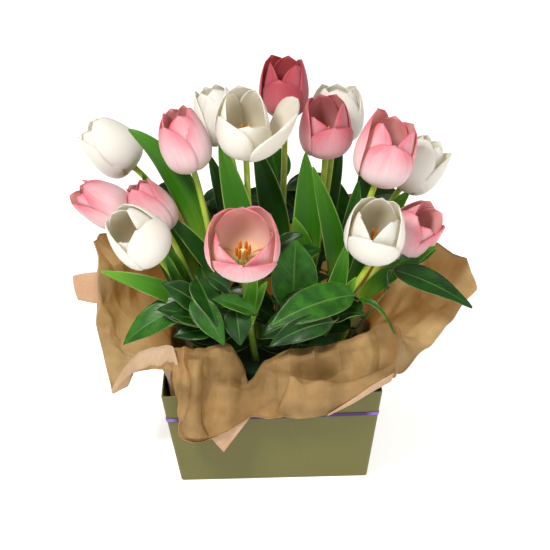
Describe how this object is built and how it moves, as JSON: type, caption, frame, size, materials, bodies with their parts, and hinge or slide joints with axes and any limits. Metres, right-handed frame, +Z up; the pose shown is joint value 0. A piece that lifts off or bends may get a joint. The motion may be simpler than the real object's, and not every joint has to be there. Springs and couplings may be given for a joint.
{
  "type": "flower box",
  "caption": "Tapered card posy box with a ribbon band and crumpled kraft paper, filled with tulips and dark foliage set in floral foam.",
  "frame": {"origin": "centre of the box's square underside, on the table", "axes": "+Z up, -Y towards the front where the paper's corner hangs over the rim, +X to the right seen from the front"},
  "size_m": [0.374, 0.2328, 0.3667],
  "materials": {
    "olive_card": "matte olive green coated card",
    "floor_card": "plain grey-brown board",
    "purple_ribbon": "thin satin ribbon",
    "kraft_paper": "crumpled brown kraft paper, smoother and paler on its back",
    "liner_plastic": "thin green thermoformed tray",
    "floral_foam": "fine-celled wet floral foam",
    "tulip_stem": "smooth yellow-green plant stem",
    "tulip_leaf": "satin green leaf with parallel veins",
    "pink_petal": "soft translucent pink petal, pale at its foot",
    "white_petal": "soft translucent white petal",
    "salal_leaf": "glossy dark green leaf with a pale toothed edge"
  },
  "bodies": {
    "box": {"carton": "olive_card", "floor_card": "floor_card", "ribbon_band": "purple_ribbon"},
    "wrap": {"kraft_wrap": "kraft_paper"},
    "arrangement": {"liner_tray": "liner_plastic", "floral_foam": "floral_foam"},
    "tulip_01": {"tulip_01_stem": "tulip_stem", "tulip_01_bloom": "pink_petal", "tulip_01_leaf": "tulip_leaf"},
    "tulip_02": {"tulip_02_stem": "tulip_stem", "tulip_02_bloom": "white_petal", "tulip_02_leaf": "tulip_leaf"},
    "tulip_03": {"tulip_03_stem": "tulip_stem", "tulip_03_bloom": "white_petal", "tulip_03_leaf": "tulip_leaf"},
    "tulip_04": {"tulip_04_stem": "tulip_stem", "tulip_04_bloom": "pink_petal", "tulip_04_leaf": "tulip_leaf"},
    "tulip_05": {"tulip_05_stem": "tulip_stem", "tulip_05_bloom": "white_petal", "tulip_05_leaf": "tulip_leaf"},
    "tulip_06": {"tulip_06_stem": "tulip_stem", "tulip_06_bloom": "pink_petal", "tulip_06_leaf": "tulip_leaf"},
    "tulip_07": {"tulip_07_stem": "tulip_stem", "tulip_07_bloom": "pink_petal", "tulip_07_leaf": "tulip_leaf"},
    "tulip_08": {"tulip_08_stem": "tulip_stem", "tulip_08_bloom": "white_petal", "tulip_08_leaf": "tulip_leaf"},
    "tulip_09": {"tulip_09_stem": "tulip_stem", "tulip_09_bloom": "pink_petal", "tulip_09_leaf": "tulip_leaf"},
    "tulip_10": {"tulip_10_stem": "tulip_stem", "tulip_10_bloom": "pink_petal", "tulip_10_leaf": "tulip_leaf"},
    "tulip_11": {"tulip_11_stem": "tulip_stem", "tulip_11_bloom": "white_petal", "tulip_11_leaf": "tulip_leaf"},
    "tulip_12": {"tulip_12_stem": "tulip_stem", "tulip_12_bloom": "pink_petal", "tulip_12_leaf": "tulip_leaf"},
    "tulip_13": {"tulip_13_stem": "tulip_stem", "tulip_13_bloom": "white_petal", "tulip_13_leaf": "tulip_leaf"},
    "tulip_14": {"tulip_14_stem": "tulip_stem", "tulip_14_bloom": "white_petal", "tulip_14_leaf": "tulip_leaf"},
    "tulip_15": {"tulip_15_stem": "tulip_stem", "tulip_15_bloom": "pink_petal", "tulip_15_leaf": "tulip_leaf"},
    "salal_front_right_sprig": {"salal_front_right": "salal_leaf"},
    "salal_front_left_sprig": {"salal_front_left": "salal_leaf"},
    "salal_left_sprig": {"salal_left": "salal_leaf"},
    "salal_right_sprig": {"salal_right": "salal_leaf"},
    "salal_centre_sprig": {"salal_centre": "salal_leaf"},
    "salal_back_left_sprig": {"salal_back_left": "salal_leaf"},
    "salal_back_middle_sprig": {"salal_back_middle": "salal_leaf"},
    "salal_back_right_sprig": {"salal_back_right": "salal_leaf"}
  },
  "joints": [
    {"name": "wrap_lift", "type": "slide", "parent": "box", "child": "wrap", "axis": [0, 0, 1], "range_m": [0, 0.11]},
    {"name": "arrangement_lift", "type": "slide", "parent": "wrap", "child": "arrangement", "axis": [0, 0, 1], "range_m": [0, 0.11]},
    {"name": "tulip_01_draw", "type": "slide", "parent": "arrangement", "child": "tulip_01", "axis": [0.0562, 0.1687, 0.9841], "range_m": [0, 0.062]},
    {"name": "tulip_02_draw", "type": "slide", "parent": "arrangement", "child": "tulip_02", "axis": [-0.0711, -0.0569, 0.9958], "range_m": [0, 0.062]},
    {"name": "tulip_03_draw", "type": "slide", "parent": "arrangement", "child": "tulip_03", "axis": [-0.1488, 0.2841, 0.9472], "range_m": [0, 0.062]},
    {"name": "tulip_04_draw", "type": "slide", "parent": "arrangement", "child": "tulip_04", "axis": [-0.2359, -0.0277, 0.9714], "range_m": [0, 0.062]},
    {"name": "tulip_05_draw", "type": "slide", "parent": "arrangement", "child": "tulip_05", "axis": [-0.3612, 0.2322, 0.9031], "range_m": [0, 0.062]},
    {"name": "tulip_06_draw", "type": "slide", "parent": "arrangement", "child": "tulip_06", "axis": [-0.4259, 0.0516, 0.9033], "range_m": [0, 0.062]},
    {"name": "tulip_07_draw", "type": "slide", "parent": "arrangement", "child": "tulip_07", "axis": [-0.3471, -0.0801, 0.9344], "range_m": [0, 0.062]},
    {"name": "tulip_08_draw", "type": "slide", "parent": "arrangement", "child": "tulip_08", "axis": [-0.3259, -0.2476, 0.9124], "range_m": [0, 0.062]},
    {"name": "tulip_09_draw", "type": "slide", "parent": "arrangement", "child": "tulip_09", "axis": [-0.0938, -0.3349, 0.9376], "range_m": [0, 0.062]},
    {"name": "tulip_10_draw", "type": "slide", "parent": "arrangement", "child": "tulip_10", "axis": [0.1412, -0.0565, 0.9884], "range_m": [0, 0.062]},
    {"name": "tulip_11_draw", "type": "slide", "parent": "arrangement", "child": "tulip_11", "axis": [0.2139, 0.2807, 0.9357], "range_m": [0, 0.062]},
    {"name": "tulip_12_draw", "type": "slide", "parent": "arrangement", "child": "tulip_12", "axis": [0.2997, -0.0272, 0.9536], "range_m": [0, 0.062]},
    {"name": "tulip_13_draw", "type": "slide", "parent": "arrangement", "child": "tulip_13", "axis": [0.4, 0.1549, 0.9033], "range_m": [0, 0.062]},
    {"name": "tulip_14_draw", "type": "slide", "parent": "arrangement", "child": "tulip_14", "axis": [0.24, -0.2667, 0.9334], "range_m": [0, 0.062]},
    {"name": "tulip_15_draw", "type": "slide", "parent": "arrangement", "child": "tulip_15", "axis": [0.4129, -0.1161, 0.9033], "range_m": [0, 0.062]},
    {"name": "salal_front_right_draw", "type": "slide", "parent": "arrangement", "child": "salal_front_right_sprig", "axis": [0.1037, -0.4082, 0.907], "range_m": [0, 0.062]},
    {"name": "salal_front_left_draw", "type": "slide", "parent": "arrangement", "child": "salal_front_left_sprig", "axis": [-0.2157, -0.406, 0.8881], "range_m": [0, 0.062]},
    {"name": "salal_left_draw", "type": "slide", "parent": "arrangement", "child": "salal_left_sprig", "axis": [-0.4186, -0.1903, 0.888], "range_m": [0, 0.062]},
    {"name": "salal_right_draw", "type": "slide", "parent": "arrangement", "child": "salal_right_sprig", "axis": [0.3878, -0.2877, 0.8757], "range_m": [0, 0.062]},
    {"name": "salal_centre_draw", "type": "slide", "parent": "arrangement", "child": "salal_centre_sprig", "axis": [0.042, -0.1959, 0.9797], "range_m": [0, 0.062]},
    {"name": "salal_back_left_draw", "type": "slide", "parent": "arrangement", "child": "salal_back_left_sprig", "axis": [-0.2515, 0.4024, 0.8802], "range_m": [0, 0.062]},
    {"name": "salal_back_middle_draw", "type": "slide", "parent": "arrangement", "child": "salal_back_middle_sprig", "axis": [0.039, 0.4154, 0.9088], "range_m": [0, 0.062]},
    {"name": "salal_back_right_draw", "type": "slide", "parent": "arrangement", "child": "salal_back_right_sprig", "axis": [0.2977, 0.3969, 0.8682], "range_m": [0, 0.062]}
  ]
}
